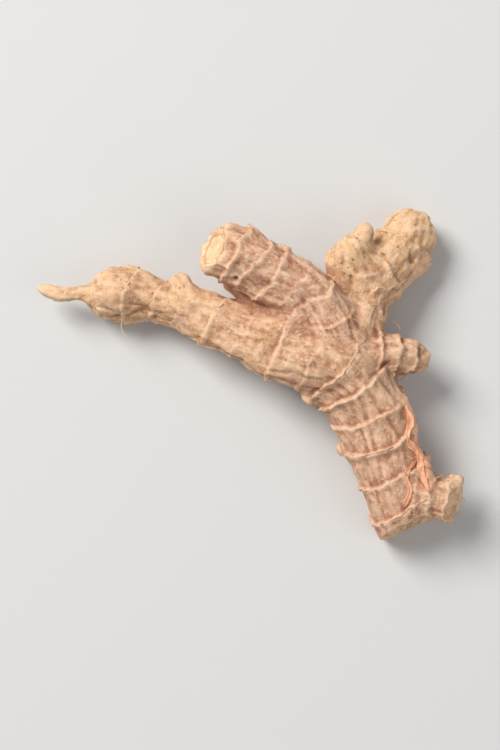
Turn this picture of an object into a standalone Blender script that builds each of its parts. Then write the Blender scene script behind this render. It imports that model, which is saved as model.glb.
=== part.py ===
"""Galangal root: one dried, branched piece of rhizome, ringed by its leaf scars and cut across its ends.

Run with: blender --background --python part.py
Metres, +Z up. The root lies on three low spots at z = 0 and is centred on the origin in plan.
+X runs from the long arm's knob towards the trunk, +Y from the trunk's cut end towards the stubs.

The root grew as one piece, so it is one body. Each arm is a centreline with a radius. A formula blends
the arms into one skin and raises the leaf scars, the wrinkles and the marks of broken rootlets on it.
"""
import math
import random

import bmesh
import bpy
import numpy as np
from mathutils import noise

MM = 0.001

# Driving sizes.
TRUNK_RADIUS = 6.8 * MM
HUB_RADIUS = 7.6 * MM
LONG_ARM_RADIUS = 5.0 * MM
KNOB_RADIUS = 6.0 * MM
STUB_RADIUS = 5.0 * MM
NECK_RADIUS = 4.0 * MM           # of the forked stub, below its fork
ROOTLET_RADIUS = 1.15 * MM
SCAR_GAP = 6.6 * MM              # between the leaf scars on the trunk
TRUNK_FOOT = 1.4 * MM            # how far each of the three low spots is worn flat
KNOB_FOOT = 1.15 * MM
FORK_FOOT = 1.0 * MM
FLAT = 0.03 * MM                 # what lies this close to the floor is on it
HUB_RISE = 5.4 * MM              # the hub arches above the low spots

# How the skin is made.
BLEND = 0.7 * MM                 # softness of the crease where arms meet
RIM = 0.22 * MM                  # softness of a cut end's edge
SAMPLE_STEP = 0.8 * MM
START_VOXEL = 0.55 * MM
ROUND_SIDES = 20
CAP_RINGS = 4
SETTLE_STEPS = 4
MAX_TRIANGLES = 11600
REACH = 4.0 * MM                 # an arm has no say in the skin farther from it than this
FAR = 1.0

# Relief on the skin.
SCAR_HEIGHT = 0.6 * MM
SCAR_RISE = 1.1 * MM             # run of a scar's slope on the side towards the base
SCAR_DROP = 0.55 * MM            # and on the side towards the tip
SCAR_LEAN = 0.2                  # how far a scar leans, as a share of the radius
SCAR_WAVE = 0.9 * MM             # and how far its line strays
SHORTEST_GAP = 2.2 * MM
CUP = 0.45 * MM                  # swelling of each joint towards its upper scar
WRINKLE_DEPTH = 0.28 * MM
WRINKLE_WIDTH = 2.6 * MM
WRINKLE_LENGTH = 12.0 * MM
LUMP_HEIGHT = 0.8 * MM
LUMP_SIZE = 8.0 * MM
KNOB_HEIGHT = 0.5 * MM           # the smaller lumps of the arms that are knobbly
KNOB_SIZE = 3.6 * MM
WART_HEIGHT = 0.45 * MM
WART_RADIUS = 1.7 * MM           # of the largest
WART_GAP = 7.0 * MM
CUT_DISH = 0.6 * MM              # how far a cut face has shrunk in
CUT_RING = 0.3 * MM              # the groove inside its bark
FLOOR_FADE = 1.4 * MM            # relief grows from nothing at the floor to all of it here
DISH_FADE = 0.4 * MM             # and a cut face's dish to all of it here
CREASE_FADE = 3.5 * MM           # and from nothing where arms face each other to all of it this far off
STOUT = 2.2 * MM                 # arms with a smaller radius than this have less relief

SKIN_COLOUR = (0.50, 0.31, 0.19, 1.0)
SEED = 11


class Arm:
    """A limb of the root. path holds (x, y, z, radius) points, base first. scars is (first, gap,
    shrink): the first leaf scar's distance from the base, the gap to the next one, and the share of
    the gap that each later one keeps. cuts maps an end, 0 or -1, to the way its flat cut faces.
    ringed is the scars' mean share of their full height, and knobbly the share of the smaller lumps
    that shows, both at the base and at the tip."""

    def __init__(self, name, path, scars=None, cuts=None, ringed=(1.0, 1.0), knobbly=(0.0, 0.0)):
        self.name = name
        self.ringed = ringed
        self.knobbly = knobbly
        self.centre, self.radius = sample_curve(path)
        steps = np.linalg.norm(np.diff(self.centre, axis=0), axis=1)
        self.along = np.concatenate([[0.0], np.cumsum(steps)])
        self.length = self.along[-1]
        self.tangent = unit(np.gradient(self.centre, axis=0))
        self.side, self.up = carry_frame(self.tangent)
        self.cuts = {end: unit(np.array(way, float)) for end, way in (cuts or {}).items()}
        self.phase = 0.37 * sum(ord(letter) for letter in name)
        if scars is None:
            self.scars = None
        else:
            self.scars, self.strength = self.place_scars(*scars)
        margin = self.radius.max() * 1.1 + REACH
        self.low, self.high = self.centre.min(0) - margin, self.centre.max(0) + margin

    def place_scars(self, first, gap, shrink):
        """Distances of the leaf scars from the base, with one beyond each end of the arm, and the
        share of the full height that each has."""
        draw = random.Random(self.name)
        places = [first - gap, first]
        while places[-1] < self.length + 2 * KNOB_RADIUS:
            gap = max(gap * shrink, SHORTEST_GAP)
            places.append(places[-1] + gap * draw.uniform(0.85, 1.15))
        means = np.interp(places, (0.0, self.length), self.ringed)
        shares = [draw.uniform(max(0, 2 * mean - 1), min(1, 2 * mean)) for mean in means]
        return np.array(places), np.array(shares)

    def nearby(self, points):
        return ((points > self.low) & (points < self.high)).all(1)

    def measure(self, points):
        """Each point's distance from the centreline, distance along it, place across the arm as a
        complex number in the unit disc, the arm's radius there, and the direction straight out."""
        squares = (points ** 2).sum(1)[:, None] + (self.centre ** 2).sum(1)
        near = (squares - 2 * points @ self.centre.T).argmin(1)
        offset = ((points - self.centre[near]) * self.tangent[near]).sum(1)
        low = np.where(near == 0, 0.0, -SAMPLE_STEP)
        high = np.where(near == len(self.centre) - 1, 0.0, SAMPLE_STEP)
        held = np.clip(offset, low, high)
        spoke = points - self.centre[near] - held[:, None] * self.tangent[near]
        distance = np.maximum(np.linalg.norm(spoke, axis=1), 1e-9)
        radius = np.interp(self.along[near] + held, self.along, self.radius)
        across = (spoke * self.side[near]).sum(1) + 1j * (spoke * self.up[near]).sum(1)
        across /= np.maximum(np.abs(across), radius)
        return distance, self.along[near] + offset, across, radius, spoke / distance[:, None]

    def field(self, points):
        """Signed distance to the arm's plain skin, negative inside, and the way out."""
        distance, along, across, radius, out = self.measure(points)
        oval = 0.07 * across ** 2 * np.exp(1j * (self.phase + along / (11 * MM)))
        oval += 0.045 * across ** 3 * np.exp(-1j * (self.phase + along / (7 * MM)))
        value = distance - radius * (1 + oval.imag)
        for end, way in self.cuts.items():
            value, out = cut_off(value, out, (points - self.centre[end]) @ way, way)
        return value, out

    def relief(self, points):
        """Height of the lumps, scars, joints and wrinkles over the plain skin."""
        distance, along, across, radius, _ = self.measure(points)
        bark = np.clip((distance / radius - 0.6) / 0.3, 0, 1)
        knobbly = np.interp(along, (0.0, self.length), self.knobbly)
        knobs = KNOB_HEIGHT * knobbly * noise_at(points / KNOB_SIZE + self.phase)
        turn = np.column_stack([across.real, across.imag])
        lie = np.column_stack([turn * (radius / WRINKLE_WIDTH)[:, None], along / WRINKLE_LENGTH])
        if self.scars is None:
            return bark * (knobs + wrinkle(lie + self.phase) * 0.5)
        wave = noise_at(np.column_stack([turn * 1.6, along / (5 * MM)]) + self.phase)
        lean = across * np.exp(1j * (self.phase + along / (20 * MM)))
        place = along + SCAR_LEAN * radius * lean.imag + SCAR_WAVE * wave
        index = np.clip(np.searchsorted(self.scars, place), 1, len(self.scars) - 1)
        past = place - self.scars[index - 1]
        ahead = self.scars[index] - place
        drop = np.exp(-(past / SCAR_DROP) ** 2)
        rise = np.exp(-(ahead / SCAR_RISE) ** 2)
        before, after = self.strength[index - 1], self.strength[index]
        ridge = before * drop * self.raggedness(turn, index - 1)
        ridge += after * rise * self.raggedness(turn, index)
        share = past / (past + ahead)
        swell = 0.5 * before * drop + 0.5 * (after * share - before * (1 - share)) * (1 - drop)
        lie[:, 2] += 3.7 * index
        rings = SCAR_HEIGHT * ridge + CUP * swell
        return bark * (knobs + rings + wrinkle(lie + self.phase))

    def raggedness(self, turn, index):
        """A scar's share of its full height, which changes round the arm."""
        return 0.8 + 0.6 * noise_at(np.column_stack([turn * 1.9, 2.3 * index + self.phase]))

    def dish(self, points):
        """How far the cut faces have shrunk in at each point, and the way they face."""
        sunk = np.zeros((len(points), 3))
        for end, way in self.cuts.items():
            from_end = points - self.centre[end]
            face = from_end @ way
            reach = np.linalg.norm(from_end - face[:, None] * way, axis=1) / self.radius[end]
            on_face = np.clip(1 + face / (0.8 * MM), 0, 1) * (reach < 1.3)
            bowl = CUT_DISH * np.clip(1 - reach ** 2, 0, 1)
            bowl += CUT_RING * np.exp(-((reach - 0.68) / 0.12) ** 2)
            sunk -= (on_face * bowl)[:, None] * way
        return sunk


def unit(vectors):
    return vectors / np.maximum(np.linalg.norm(vectors, axis=-1, keepdims=True), 1e-12)


def cut_off(value, out, over, way):
    """A signed distance and its way out, once what lies over a plane that faces way is cut off."""
    share = 1 / (1 + np.exp(np.clip((value - over) / RIM, -40, 40)))
    value = np.maximum(value, over) + RIM * np.log1p(np.exp(-np.abs(value - over) / RIM))
    return value, unit(out * (1 - share)[:, None] + way * share[:, None])


def noise_at(points):
    """Smooth noise from about -1 to 1 at each point."""
    return np.array([noise.noise(point) for point in points.tolist()])


def wrinkle(lie):
    """Narrow furrows, where smooth noise passes through zero."""
    return -WRINKLE_DEPTH * np.exp(-(noise_at(lie) / 0.2) ** 2)


def sample_curve(path):
    """Points and radii at even steps along a smooth curve through path."""
    knots = np.array(path, float)
    knots = np.vstack([2 * knots[0] - knots[1], knots, 2 * knots[-1] - knots[-2]])
    pieces = []
    for a, b, c, d in zip(knots, knots[1:], knots[2:], knots[3:]):
        count = max(2, round(np.linalg.norm((c - b)[:3]) / SAMPLE_STEP))
        t = (np.arange(count) / count)[:, None]
        pieces.append(0.5 * (2 * b + (c - a) * t + (2 * a - 5 * b + 4 * c - d) * t ** 2
                             + (3 * b - a - 3 * c + d) * t ** 3))
    curve = np.vstack(pieces + [knots[-2:-1]])
    return curve[:, :3], curve[:, 3]


def carry_frame(tangent):
    """Two directions square to the tangent at each sample, carried along without twist."""
    side = [unit(np.cross(tangent[0], (0.0, 0.0, 1.0)))]
    for direction in tangent[1:]:
        side.append(unit(side[-1] - direction * (side[-1] @ direction)))
    return np.array(side), np.cross(side, tangent)


def in_mm(*points):
    """Path points given as x, y and z in millimetres and a radius in metres."""
    return [(x * MM, y * MM, z * MM, radius) for x, y, z, radius in points]


def main_axis():
    """Trunk, hub and long arm, which are one shoot: from the trunk's cut end to the knob."""
    foot = (TRUNK_RADIUS - TRUNK_FOOT) / MM
    knob = (KNOB_RADIUS - KNOB_FOOT) / MM
    rise = HUB_RISE / MM
    return Arm("axis", in_mm(
        (25.4, -29.5, foot, TRUNK_RADIUS),
        (21.8, -19.5, foot + 0.30 * rise, TRUNK_RADIUS),
        (18.6, -10.0, foot + 0.62 * rise, TRUNK_RADIUS),
        (15.0, -2.5, foot + 0.88 * rise, TRUNK_RADIUS * 1.06),
        (9.8, 2.6, foot + rise, HUB_RADIUS),
        (2.6, 5.0, foot + 0.95 * rise, HUB_RADIUS * 0.93),
        (-5.2, 7.2, foot + 0.78 * rise, LONG_ARM_RADIUS * 1.14),
        (-12.0, 10.2, foot + 0.55 * rise, LONG_ARM_RADIUS),
        (-18.5, 12.8, foot + 0.28 * rise, LONG_ARM_RADIUS * 0.92),
        (-24.2, 14.3, knob + 0.8, LONG_ARM_RADIUS * 0.88),
        (-28.6, 15.0, knob, KNOB_RADIUS * 0.97),
        (-31.0, 15.2, knob, KNOB_RADIUS * 0.95)),
        scars=(4.9 * MM, SCAR_GAP, 0.985), cuts={0: (0.42, -0.88, 0.22)}, ringed=(1.0, 0.3),
        knobbly=(0.1, 1.1))


def stubs():
    """The short shoots that grew off the hub and the trunk, and the buds on them."""
    low = (STUB_RADIUS * 1.1 - FORK_FOOT) / MM
    return [
        Arm("left_stub", in_mm(
            (9.6, 7.0, 12.0, STUB_RADIUS * 1.15),
            (7.2, 12.4, 12.8, STUB_RADIUS * 1.08),
            (3.4, 16.4, 13.3, STUB_RADIUS),
            (-1.8, 18.9, 13.6, STUB_RADIUS * 1.02),
            (-7.0, 21.8, 13.8, STUB_RADIUS * 1.04),
            (-12.6, 23.6, 14.2, STUB_RADIUS * 0.88)),
            scars=(8.6 * MM, 5.2 * MM, 0.92), cuts={-1: (-0.80, 0.36, 0.48)}, ringed=(0.5, 0.6),
            knobbly=(0.5, 0.8)),
        Arm("stub_crotch", in_mm(
            (4.4, 9.2, 10.2, 4.4 * MM),
            (-1.6, 12.8, 9.6, 3.0 * MM),
            (-5.6, 15.2, 9.2, 1.9 * MM),
            (-9.0, 17.0, 9.0, 1.2 * MM))),
        Arm("fork_crotch", in_mm(
            (9.5, 9.5, 11.0, 4.8 * MM),
            (11.3, 13.4, 10.8, 4.0 * MM),
            (11.5, 16.4, 10.4, 2.8 * MM))),
        Arm("forked_stub", in_mm(
            (12.6, 4.4, 11.0, NECK_RADIUS * 1.3),
            (16.2, 10.6, 10.4, NECK_RADIUS * 1.05),
            (17.3, 15.0, 9.4, NECK_RADIUS),
            (20.2, 19.3, 7.8, STUB_RADIUS * 0.96),
            (23.6, 23.2, low + 0.4, STUB_RADIUS * 1.16),
            (25.2, 26.4, low, STUB_RADIUS * 1.08)),
            scars=(8.6 * MM, 4.4 * MM, 0.96), ringed=(0.6, 0.35), knobbly=(0.7, 1.0)),
        Arm("fork_knob", in_mm(
            (17.0, 15.0, 9.6, NECK_RADIUS * 0.95),
            (15.3, 19.4, 10.4, STUB_RADIUS * 0.92),
            (13.9, 21.7, 10.8, STUB_RADIUS * 0.93)),
            scars=(4.4 * MM, 3.6 * MM, 0.95), ringed=(0.5, 0.35), knobbly=(0.9, 1.2)),
        Arm("fork_bud", in_mm(
            (14.8, 22.8, 11.0, 2.6 * MM),
            (16.4, 26.6, 11.6, 1.7 * MM))),
        Arm("shoulder_bud", in_mm(
            (15.5, 3.4, 11.6, 5.0 * MM),
            (21.4, 3.4, 11.0, 3.9 * MM),
            (25.4, 3.0, 10.2, 2.9 * MM)),
            scars=(6.2 * MM, 3.4 * MM, 0.9), ringed=(0.7, 0.7), knobbly=(0.5, 0.9)),
        Arm("low_stub", in_mm(
            (23.6, -21.5, 8.2, STUB_RADIUS * 1.0),
            (29.0, -23.4, 9.2, STUB_RADIUS * 0.86),
            (33.6, -24.6, 10.2, STUB_RADIUS * 0.82)),
            scars=(6.6 * MM, 3.6 * MM, 0.9), cuts={-1: (0.90, -0.20, 0.38)}, ringed=(0.7, 0.7),
            knobbly=(0.4, 0.7)),
        Arm("long_arm_bud", in_mm(
            (-17.6, 13.4, 9.2, 3.2 * MM),
            (-18.6, 17.0, 9.9, 1.9 * MM))),
        Arm("torn_sheath", in_mm(
            (23.4, -5.4, 12.6, 0.8 * MM),
            (25.2, -9.4, 12.6, 1.0 * MM),
            (25.4, -13.6, 12.2, 0.9 * MM),
            (27.6, -17.2, 12.0, 1.0 * MM),
            (28.8, -21.4, 12.8, 0.8 * MM))),
    ]


def rootlets(limbs):
    """Broken rootlets: the long one on the knob, and short ones low on the flanks at the scars."""
    draw = random.Random(SEED)
    knob = KNOB_RADIUS / MM
    found = [Arm("knob_rootlet", in_mm(
        (-33.0, 15.2, knob, 2.0 * MM),
        (-36.2, 15.3, knob + 0.4, 1.8 * MM),
        (-37.6, 15.5, knob + 0.6, 1.6 * MM),
        (-39.2, 15.4, knob + 0.9, 1.5 * MM),
        (-41.4, 15.2, knob + 1.0, 1.4 * MM),
        (-43.6, 15.7, knob + 0.8, 1.2 * MM),
        (-45.3, 16.2, knob + 0.4, 0.9 * MM)), knobbly=(0.3, 0.5))]
    for limb in limbs:
        if limb.scars is None:
            continue
        for place in limb.scars[(limb.scars > 0) & (limb.scars < limb.length)]:
            lean = math.radians(draw.uniform(0, 55))
            hand = draw.choice((-1, 1))
            reach = draw.uniform(0.8, 2.4) * MM
            if draw.random() < 0.4:
                continue
            near = int(np.argmin(np.abs(limb.along - place)))
            level = unit(np.cross(limb.tangent[near], (0.0, 0.0, hand)))
            way = level * math.cos(lean) - np.array((0, 0, math.sin(lean)))
            root = limb.centre[near] + way * (limb.radius[near] - 1.5 * MM)
            tip = root + way * (reach + 1.5 * MM)
            others = [other for other in limbs if other is not limb]
            clear = min(other.field(tip[None])[0][0] for other in others)
            if tip[2] < 2.2 * MM or clear < 2.5 * MM:
                continue
            found.append(Arm(f"rootlet{len(found)}", [
                (*root, ROOTLET_RADIUS * 1.3), (*tip, ROOTLET_RADIUS * draw.uniform(0.8, 1.05))],
                cuts={-1: way}))
    return found


def warts(limbs):
    """The small rimmed scars that shed rootlets left, over the whole skin: centres and radii."""
    draw = random.Random(SEED + 1)
    crotch = next(limb for limb in limbs if limb.name == "fork_crotch")
    middle = len(crotch.centre) // 2
    found = [(crotch.centre[middle] + np.array((0, 0, crotch.radius[middle])), WART_RADIUS)]
    for limb in limbs:
        if limb.scars is None:
            continue
        for place in np.arange(WART_GAP, limb.length - 3 * MM, WART_GAP):
            near = int(np.argmin(np.abs(limb.along - place - draw.uniform(-2, 2) * MM)))
            angle = draw.uniform(0, 2 * math.pi)
            way = limb.side[near] * math.cos(angle) + limb.up[near] * math.sin(angle)
            found.append((limb.centre[near] + way * limb.radius[near],
                          WART_RADIUS * draw.uniform(0.5, 1.0)))
    return found


def rough_limb(bm, limb):
    """A plain closed tube along the limb, flat at a cut end and round at a grown one."""
    rings = list(zip(limb.centre, limb.radius, limb.side, limb.up))
    for end in (0, -1):
        centre, radius, side, up = rings[end]
        out = limb.tangent[end] * (1 if end else -1)
        if end in limb.cuts:
            caps = [(radius, radius)]
        else:
            swings = math.radians(85) * np.arange(1, CAP_RINGS + 1) / CAP_RINGS
            caps = [(radius * math.sin(swing), radius * math.cos(swing)) for swing in swings]
        for reach, wide in caps:
            rings.insert(len(rings) if end else 0, (centre + out * reach, wide, side, up))
    loops = []
    for centre, radius, side, up in rings:
        turns = 2 * math.pi * np.arange(ROUND_SIDES) / ROUND_SIDES
        spots = centre + radius * (np.outer(np.cos(turns), side) + np.outer(np.sin(turns), up))
        for end, way in limb.cuts.items():
            over = np.maximum((spots - limb.centre[end]) @ way, 0)
            along = limb.tangent[end]
            spots = spots - np.outer(over / (along @ way), along)
        spots[:, 2] = np.maximum(spots[:, 2], 0.0)
        loops.append([bm.verts.new(spot) for spot in spots])
    for low, high in zip(loops, loops[1:]):
        for i in range(ROUND_SIDES):
            j = (i + 1) % ROUND_SIDES
            bm.faces.new((low[i], low[j], high[j], high[i]))
    bm.faces.new(loops[0][::-1])
    bm.faces.new(loops[-1])


def baked(obj):
    """The mesh of obj with its modifiers applied. obj itself is removed."""
    graph = bpy.context.evaluated_depsgraph_get()
    mesh = bpy.data.meshes.new_from_object(obj.evaluated_get(graph))
    bpy.data.objects.remove(obj)
    return mesh


def rough_root(limbs):
    """All limbs joined into one closed mesh on an even grid."""
    bm = bmesh.new()
    for limb in limbs:
        rough_limb(bm, limb)
    bmesh.ops.recalc_face_normals(bm, faces=bm.faces[:])
    mesh = bpy.data.meshes.new("rough_root")
    bm.to_mesh(mesh)
    bm.free()
    obj = bpy.data.objects.new("rough_root", mesh)
    bpy.context.collection.objects.link(obj)
    remesh = obj.modifiers.new("join", "REMESH")
    remesh.mode = "VOXEL"
    remesh.voxel_size = START_VOXEL
    remesh.adaptivity = 0.0
    return baked(obj)


def skin(points, limbs):
    """Signed distance to the blended skin on the floor, the way out, each limb's share in it, and
    how open it lies: 0 where another limb faces and touches it, 1 where none is near."""
    values = np.full((len(limbs), len(points)), FAR)
    ways = np.zeros((len(limbs), len(points), 3))
    for row, limb in enumerate(limbs):
        held = limb.nearby(points)
        values[row, held], ways[row, held] = limb.field(points[held])
    lowest = values.min(0)
    shares = np.exp(-(values - lowest) / BLEND)
    value = lowest - BLEND * np.log(shares.sum(0))
    shares /= shares.sum(0)
    way = unit((shares[:, :, None] * ways).sum(0))
    facing = np.clip(0.5 - (ways * way).sum(2), 0, 1)
    crowding = (facing * np.clip(1 - values / CREASE_FADE, 0, 1)).max(0)
    value, way = cut_off(value, way, -points[:, 2], np.array((0.0, 0.0, -1.0)))
    return value, way, shares, 1 - crowding


def raise_relief(points, limbs, wart_places):
    """Moves points from the plain skin to the finished one."""
    _, way, shares, openness = skin(points, limbs)
    height = LUMP_HEIGHT * noise_at(points / LUMP_SIZE)
    dished = np.zeros_like(points)
    for limb, share in zip(limbs, shares):
        held = share > 0.02
        height[held] += share[held] * limb.relief(points[held])
        dished[held] += share[held, None] * limb.dish(points[held])
    for centre, radius in wart_places:
        reach = np.linalg.norm(points - centre, axis=1) / radius
        crater = np.exp(-((reach - 0.8) / 0.4) ** 2) - 0.5 * np.exp(-(reach / 0.5) ** 2)
        height += WART_HEIGHT * radius / WART_RADIUS * crater
    floor_fade = np.clip(points[:, 2] / FLOOR_FADE, 0, 1)
    stoutness = np.minimum(1, np.array([limb.radius.mean() for limb in limbs]) / STOUT)
    height *= floor_fade * openness * (stoutness @ shares)
    dished *= np.clip(points[:, 2:] / DISH_FADE, 0, 1)
    return points + way * height[:, None] + dished


def get_points(mesh):
    points = np.empty(len(mesh.vertices) * 3)
    mesh.vertices.foreach_get("co", points)
    return points.reshape(-1, 3)


def set_points(mesh, points):
    mesh.vertices.foreach_set("co", points.ravel())
    mesh.update()


def thinned(mesh):
    """The mesh with only as many triangles as the part may have, most where it bends most."""
    obj = bpy.data.objects.new("thinned", mesh)
    bpy.context.collection.objects.link(obj)
    mesh.calc_loop_triangles()
    decimate = obj.modifiers.new("thin", "DECIMATE")
    decimate.decimate_type = "COLLAPSE"
    decimate.ratio = MAX_TRIANGLES / len(mesh.loop_triangles)
    decimate.use_collapse_triangulate = True
    return baked(obj)


def rest_on_floor(points):
    """Makes the three low spots truly flat, and centres the root over the origin."""
    points[points[:, 2] < FLAT, 2] = 0.0
    middle = (points.min(0) + points.max(0)) / 2
    return points - (middle[0], middle[1], 0.0)


def skin_material():
    material = bpy.data.materials.new("dried_skin")
    material.use_nodes = True
    shader = material.node_tree.nodes["Principled BSDF"]
    shader.inputs["Base Color"].default_value = SKIN_COLOUR
    shader.inputs["Roughness"].default_value = 0.85
    return material


def clear_scene():
    for obj in list(bpy.data.objects):
        bpy.data.objects.remove(obj)


def main():
    clear_scene()
    grown = [main_axis()] + stubs()
    limbs = grown + rootlets(grown)
    mesh = rough_root(limbs)
    points = get_points(mesh)
    for _ in range(SETTLE_STEPS):
        value, way, _, _ = skin(points, limbs)
        points -= way * np.clip(value, -MM, MM)[:, None]
    set_points(mesh, raise_relief(points, limbs, warts(grown)))
    mesh = thinned(mesh)
    set_points(mesh, rest_on_floor(get_points(mesh)))
    mesh.name = "galangal_root"
    mesh.materials.clear()
    mesh.materials.append(skin_material())
    mesh.shade_smooth()
    mesh.set_sharp_from_angle(angle=math.radians(75))
    root = bpy.data.objects.new("galangal_root", mesh)
    bpy.context.collection.objects.link(root)


main()
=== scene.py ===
"""Galangal root: the looks. A dried, branched rhizome that lies on a pale floor, seen from above.

Metres, +Z up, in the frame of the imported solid. The root's arms are the ones that the solid is made
of, and the same formulas give its form. Here they make a finer skin, with masks for the colours, and
the papery remnants of leaf scales, the torn sheath and the hair-fine fibres are added.
"""

import math
import random

import bmesh
import bpy
import numpy as np
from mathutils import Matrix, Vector, noise


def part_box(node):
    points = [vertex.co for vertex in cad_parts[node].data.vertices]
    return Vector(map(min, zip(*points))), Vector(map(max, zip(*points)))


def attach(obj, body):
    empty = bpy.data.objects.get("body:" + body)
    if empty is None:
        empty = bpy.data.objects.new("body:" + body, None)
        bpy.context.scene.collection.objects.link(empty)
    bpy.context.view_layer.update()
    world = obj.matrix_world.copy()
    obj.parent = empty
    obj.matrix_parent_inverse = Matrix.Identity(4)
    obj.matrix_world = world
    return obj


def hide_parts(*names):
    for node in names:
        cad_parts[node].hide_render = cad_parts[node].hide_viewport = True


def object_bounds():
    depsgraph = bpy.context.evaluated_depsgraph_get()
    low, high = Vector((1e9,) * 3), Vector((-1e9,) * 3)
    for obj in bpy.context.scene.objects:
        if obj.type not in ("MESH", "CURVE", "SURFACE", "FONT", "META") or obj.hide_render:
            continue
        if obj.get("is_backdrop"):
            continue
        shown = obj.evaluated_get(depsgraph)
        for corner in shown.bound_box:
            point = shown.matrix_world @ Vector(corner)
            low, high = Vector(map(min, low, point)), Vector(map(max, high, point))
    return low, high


MM = 0.001

# Sizes that the solid has too.
TRUNK_RADIUS = 6.8 * MM
HUB_RADIUS = 7.6 * MM
LONG_ARM_RADIUS = 5.0 * MM
KNOB_RADIUS = 6.0 * MM
STUB_RADIUS = 5.0 * MM
NECK_RADIUS = 4.0 * MM
ROOTLET_RADIUS = 1.15 * MM
SCAR_GAP = 6.6 * MM
TRUNK_FOOT = 1.4 * MM
KNOB_FOOT = 1.15 * MM
FORK_FOOT = 1.0 * MM
FLAT = 0.03 * MM                 # what lies this close to the floor is on it
HUB_RISE = 5.4 * MM
BLEND = 0.7 * MM
RIM = 0.22 * MM
SAMPLE_STEP = 0.8 * MM
ROUND_SIDES = 20
CAP_RINGS = 4
SETTLE_STEPS = 4
REACH = 4.0 * MM                 # an arm has no say in the skin farther from it than this
FAR = 1.0
SCAR_HEIGHT = 0.6 * MM
SHORTEST_GAP = 2.2 * MM
SCAR_LEAN = 0.2
SCAR_WAVE = 0.9 * MM
CUP = 0.45 * MM                  # swelling of each joint towards its upper scar
WRINKLE_DEPTH = 0.28 * MM
WRINKLE_WIDTH = 2.6 * MM
WRINKLE_LENGTH = 12.0 * MM
LUMP_HEIGHT = 0.8 * MM
LUMP_SIZE = 8.0 * MM
KNOB_HEIGHT = 0.5 * MM
KNOB_SIZE = 3.6 * MM
WART_HEIGHT = 0.45 * MM
WART_RADIUS = 1.7 * MM
WART_GAP = 7.0 * MM
CUT_DISH = 0.6 * MM
CUT_RING = 0.3 * MM
FLOOR_FADE = 1.4 * MM            # the relief fades out towards the floor over this height
DISH_FADE = 0.4 * MM
CREASE_FADE = 3.5 * MM           # and between arms that face each other this near
STOUT = 2.2 * MM                 # arms with a smaller radius than this have less of it
SEED = 11

# The finer skin.
FINE_VOXEL = 0.3 * MM
SCAR_RISE = 0.85 * MM
SCAR_DROP = 0.32 * MM
SCAR_RIPPLE = 0.3 * MM           # small waves in a scar's line
LIP_HEIGHT = 0.13 * MM           # the raised edge along a scar's crest, broken here and there
LIP_WIDTH = 0.19 * MM
LIP_OFFSET = 0.08 * MM           # from the scar's line
LIP_FADE = 1.6                   # the power of a scar's strength that its lip follows
FURROW_DEPTH = 0.07 * MM         # the finer wrinkles between the large ones
FURROW_WIDTH = 1.1 * MM
FURROW_LENGTH = 6.0 * MM
GRAIN_HEIGHT = 0.16 * MM         # roughness all over, and more of it where an arm is knobbly
GRAIN_SIZE = 1.2 * MM
CRUST_HEIGHT = 0.32 * MM
CRUST_SIZE = 1.9 * MM
PIT_DEPTH = 0.35 * MM            # in the middle of the small round scars
FIBRE_BUMP = 0.14 * MM           # on a cut face, as the rest here
FIBRE_SIZE = 0.6 * MM
KNIFE_MARK = 0.04 * MM
KNIFE_STEP = 1.1 * MM
CRACK_DEPTH = 0.5 * MM

# Masks of bends in the skin, for the painted shade in its hollows (bend, sink_shade) and the pale wear on
# its crests (bend): the rounds that it is evened out over, and a full bend in millimetres.
BENDS = {"bend": (6, 0.12), "sink_shade": (60, 0.5)}

# What is fixed to the skin.
FRINGE_HEIGHT = 0.85 * MM        # the papery rest of a leaf scale, along a scar
FRINGE_STEP = 0.17 * MM
FRINGE_LEAST = 0.12 * MM         # lower ones have worn off
PAPER = 0.09 * MM                # its thickness
STRIP = 0.16 * MM                # the torn sheath's thickness
SUNK = 0.12 * MM                 # how deep their roots sit in the skin
FIBRE_RADIUS = 0.06 * MM
HAIR_RADIUS = 0.11 * MM
SCAR_FIBRES = (0.8 * MM, 2.2 * MM)     # shortest and longest
CUT_FIBRES = (0.8 * MM, 1.7 * MM)
HAIR_ROOTS = (2.0 * MM, 4.5 * MM)
FRAYING = 0.02                   # the share of a full scar's places that carry a fibre
STRAND_SIDES = 5
FLOOR_GAP = 0.3 * MM             # between a strand and the floor
HEADROOM = 3.0 * MM              # rays that find the skin start this far off its plain form
HIGHEST = 1.8 * MM               # skin above this hides the spot
LOWEST = 1.5 * MM                # and skin below this has lost it
LEAST_SCAR = 0.3                 # nothing is fixed to a weaker scar
LEAST_FACING = 0.35              # or where the skin turns away more than this
CUT_MARGIN = 1.2 * MM            # or this near to a cut face

# Colours, as a display shows them, from 0 to 255.
SKIN_TAN = (188, 134, 96)
SKIN_LIGHT = (216, 169, 130)
SKIN_PINK = (212, 156, 132)
SKIN_PALE = (249, 203, 144)
STAIN = (164, 100, 68)
SCURF = (241, 202, 167)
SCAR_CREST = (234, 199, 167)
# brown for the lengthwise lines and mottling, and painted shade in the furrows and pits
LINE_AND_SHADE_BROWN = (112, 68, 44)
# painted shade for the creases between limbs and the sunk hollows
PAINTED_SHADE_BROWN = (132, 72, 40)
DOT_BROWN = (122, 76, 48)
CUT_BUFF = (248, 214, 170)
CUT_DEEP = (230, 186, 140)
CUT_FIBRE = (176, 120, 78)
CUT_BARK = (140, 92, 62)
SHEATH_ORANGE = (218, 138, 96)
SHEATH_LIGHT = (240, 184, 144)
FIBRE_BROWN = (160, 104, 72)
FIBRE_PALE = (222, 172, 128)
FLOOR_GREY = (208, 206, 202)

TONES = ("pale", "pink", "orange")


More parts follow.
